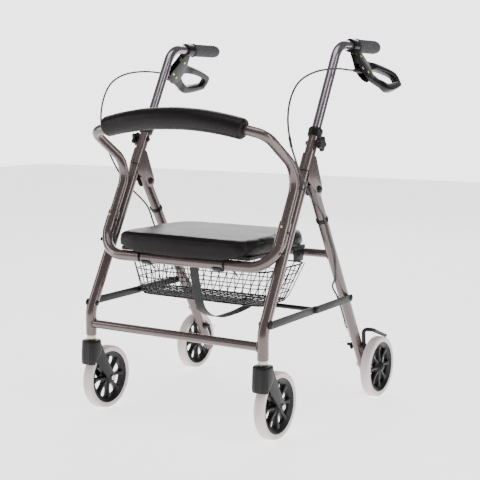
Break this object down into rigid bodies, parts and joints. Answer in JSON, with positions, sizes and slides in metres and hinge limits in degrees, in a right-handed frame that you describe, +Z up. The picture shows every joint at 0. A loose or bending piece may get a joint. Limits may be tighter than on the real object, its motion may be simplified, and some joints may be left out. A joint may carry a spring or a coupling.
{
  "type": "rollator walker",
  "caption": "Folding wheeled walker with a padded seat, wire basket, curved backrest pad and squeeze brakes.",
  "frame": {"origin": "on the floor, at the centre of the box around the open walker", "axes": "+Z up, -Y the walker's front with the casters and the backrest, +Y towards the user, +X the side at the right of a picture taken from the front"},
  "size_m": [0.6192, 0.5976, 0.892],
  "materials": {
    "frame_paint": "metallic taupe-grey lacquer, glossy",
    "handle_paint": "silver-lilac metallic lacquer, glossy",
    "black_plastic": "moulded, fine-grained, satin",
    "black_steel": "black powder coat, satin",
    "coated_wire": "black dipped wire, satin gloss",
    "zinc_steel": "zinc plated",
    "vinyl": "grained black vinyl, soft sheen",
    "webbing": "woven polyester, matt",
    "grip_rubber": "soft ribbed rubber, matt",
    "cable_sleeve": "smooth black sleeve",
    "tyre": "warm light grey solid tyre, matt"
  },
  "bodies": {
    "front_frame": {"front_leg_left": "frame_paint", "front_leg_right": "frame_paint", "lower_cross_tube": "frame_paint", "seat_front_tube": "frame_paint", "backrest_tube": "frame_paint", "backrest_pad": "vinyl", "hinge_bracket_left": "frame_paint", "hinge_bracket_right": "frame_paint", "hinge_bolt_left": "black_plastic", "hinge_bolt_right": "black_plastic", "height_collar_left": "black_plastic", "height_collar_right": "black_plastic", "brake_cable_left": "cable_sleeve", "brake_cable_right": "cable_sleeve", "fold_strap": "webbing"},
    "rear_frame": {"rear_leg_left": "frame_paint", "rear_leg_right": "frame_paint", "seat_rest_tube": "frame_paint", "rear_axle_left": "zinc_steel", "rear_axle_right": "zinc_steel"},
    "basket": {"basket_front": "coated_wire", "basket_back": "coated_wire", "basket_left": "coated_wire", "basket_right": "coated_wire", "basket_floor": "coated_wire"},
    "seat": {"seat_board": "black_plastic", "seat_cushion": "vinyl", "seat_clip_left": "black_plastic", "seat_clip_right": "black_plastic"},
    "front_braces": {"front_brace_left": "black_steel", "front_brace_right": "black_steel", "fold_bar": "black_steel"},
    "rear_braces": {"rear_brace_left": "black_steel", "rear_brace_right": "black_steel"},
    "caster_left": {"caster_fork_left": "black_plastic", "caster_stem_left": "zinc_steel", "caster_axle_left": "zinc_steel"},
    "front_wheel_left": {"front_wheel_left_tyre": "tyre", "front_wheel_left_hub": "black_plastic"},
    "rear_wheel_left": {"rear_wheel_left_tyre": "tyre", "rear_wheel_left_hub": "black_plastic"},
    "brake_arm_left": {"brake_arm_left": "black_steel"},
    "handle_left": {"handle_tube_left": "handle_paint", "grip_left": "grip_rubber", "brake_housing_left": "black_plastic"},
    "brake_lever_left": {"brake_lever_left": "black_plastic"},
    "height_knob_left": {"height_knob_left": "black_plastic"},
    "caster_right": {"caster_fork_right": "black_plastic", "caster_stem_right": "zinc_steel", "caster_axle_right": "zinc_steel"},
    "front_wheel_right": {"front_wheel_right_tyre": "tyre", "front_wheel_right_hub": "black_plastic"},
    "rear_wheel_right": {"rear_wheel_right_tyre": "tyre", "rear_wheel_right_hub": "black_plastic"},
    "brake_arm_right": {"brake_arm_right": "black_steel"},
    "handle_right": {"handle_tube_right": "handle_paint", "grip_right": "grip_rubber", "brake_housing_right": "black_plastic"},
    "brake_lever_right": {"brake_lever_right": "black_plastic"},
    "height_knob_right": {"height_knob_right": "black_plastic"}
  },
  "joints": [
    {"name": "fold", "type": "hinge", "parent": "front_frame", "child": "rear_frame", "pos_m": [0, -0.0518, 0.544], "axis": [-1, 0, 0], "range_deg": [0, 39], "deforming": ["fold_strap"]},
    {"name": "front_brace_fold", "type": "hinge", "parent": "front_frame", "child": "front_braces", "pos_m": [0, -0.26514, 0.266], "axis": [1, 0, 0], "range_deg": [0, 42.22]},
    {"name": "rear_brace_fold", "type": "hinge", "parent": "rear_frame", "child": "rear_braces", "pos_m": [0, 0.11009, 0.268], "axis": [-1, 0, 0], "range_deg": [0, 46.13]},
    {"name": "basket_swing", "type": "hinge", "parent": "front_frame", "child": "basket", "pos_m": [0, -0.23161, 0.382], "axis": [1, 0, 0], "range_deg": [0, 82.5]},
    {"name": "seat_flip", "type": "hinge", "parent": "basket", "child": "seat", "pos_m": [0, -0.23161, 0.382], "axis": [-1, 0, 0], "range_deg": [-75, 0]},
    {"name": "handle_height_left", "type": "slide", "parent": "front_frame", "child": "handle_left", "axis": [0, 0.4758, 0.8795], "range_m": [-0.1, 0.05], "deforming": ["brake_cable_left"]},
    {"name": "brake_lever_left", "type": "hinge", "parent": "handle_left", "child": "brake_lever_left", "pos_m": [-0.27917, 0.1302, 0.80714], "axis": [0.8572, 0, -0.515], "range_deg": [0, 14], "stiffness_Nm_per_rad": 1.2, "springref_deg": -6.88},
    {"name": "brake_arm_left", "type": "hinge", "parent": "rear_frame", "child": "brake_arm_left", "pos_m": [-0.239, 0.18987, 0.132], "axis": [-1, 0, 0], "range_deg": [0, 1.7]},
    {"name": "height_knob_turn_left", "type": "hinge", "parent": "front_frame", "child": "height_knob_left", "pos_m": [-0.2577, -0.05848, 0.648], "axis": [-1, 0, 0], "continuous": true},
    {"name": "caster_swivel_left", "type": "hinge", "parent": "front_frame", "child": "caster_left", "pos_m": [-0.239, -0.2738, 0.178], "axis": [0, 0, 1], "continuous": true},
    {"name": "front_wheel_spin_left", "type": "hinge", "parent": "caster_left", "child": "front_wheel_left", "pos_m": [-0.239, -0.2198, 0.0762], "axis": [1, 0, 0], "continuous": true},
    {"name": "rear_wheel_spin_left", "type": "hinge", "parent": "rear_frame", "child": "rear_wheel_left", "pos_m": [-0.2785, 0.2226, 0.0762], "axis": [1, 0, 0], "continuous": true},
    {"name": "handle_height_right", "type": "slide", "parent": "front_frame", "child": "handle_right", "axis": [0, 0.4758, 0.8795], "range_m": [-0.1, 0.05], "deforming": ["brake_cable_right"]},
    {"name": "brake_lever_right", "type": "hinge", "parent": "handle_right", "child": "brake_lever_right", "pos_m": [0.27917, 0.1302, 0.80714], "axis": [0.8572, 0, 0.515], "range_deg": [0, 14], "stiffness_Nm_per_rad": 1.2, "springref_deg": -6.88},
    {"name": "brake_arm_right", "type": "hinge", "parent": "rear_frame", "child": "brake_arm_right", "pos_m": [0.239, 0.18987, 0.132], "axis": [-1, 0, 0], "range_deg": [0, 1.7]},
    {"name": "height_knob_turn_right", "type": "hinge", "parent": "front_frame", "child": "height_knob_right", "pos_m": [0.2577, -0.05848, 0.648], "axis": [1, 0, 0], "continuous": true},
    {"name": "caster_swivel_right", "type": "hinge", "parent": "front_frame", "child": "caster_right", "pos_m": [0.239, -0.2738, 0.178], "axis": [0, 0, 1], "continuous": true},
    {"name": "front_wheel_spin_right", "type": "hinge", "parent": "caster_right", "child": "front_wheel_right", "pos_m": [0.239, -0.2198, 0.0762], "axis": [1, 0, 0], "continuous": true},
    {"name": "rear_wheel_spin_right", "type": "hinge", "parent": "rear_frame", "child": "rear_wheel_right", "pos_m": [0.2785, 0.2226, 0.0762], "axis": [1, 0, 0], "continuous": true}
  ],
  "couplings": [
    {"joint": "front_brace_fold", "follows": "fold", "ratio": 1.0748},
    {"joint": "rear_brace_fold", "follows": "fold", "ratio": 1.1752},
    {"joint": "basket_swing", "follows": "fold", "ratio": 2.1026},
    {"joint": "brake_arm_left", "follows": "brake_lever_left", "ratio": 0.11429},
    {"joint": "brake_arm_right", "follows": "brake_lever_right", "ratio": 0.11429}
  ]
}
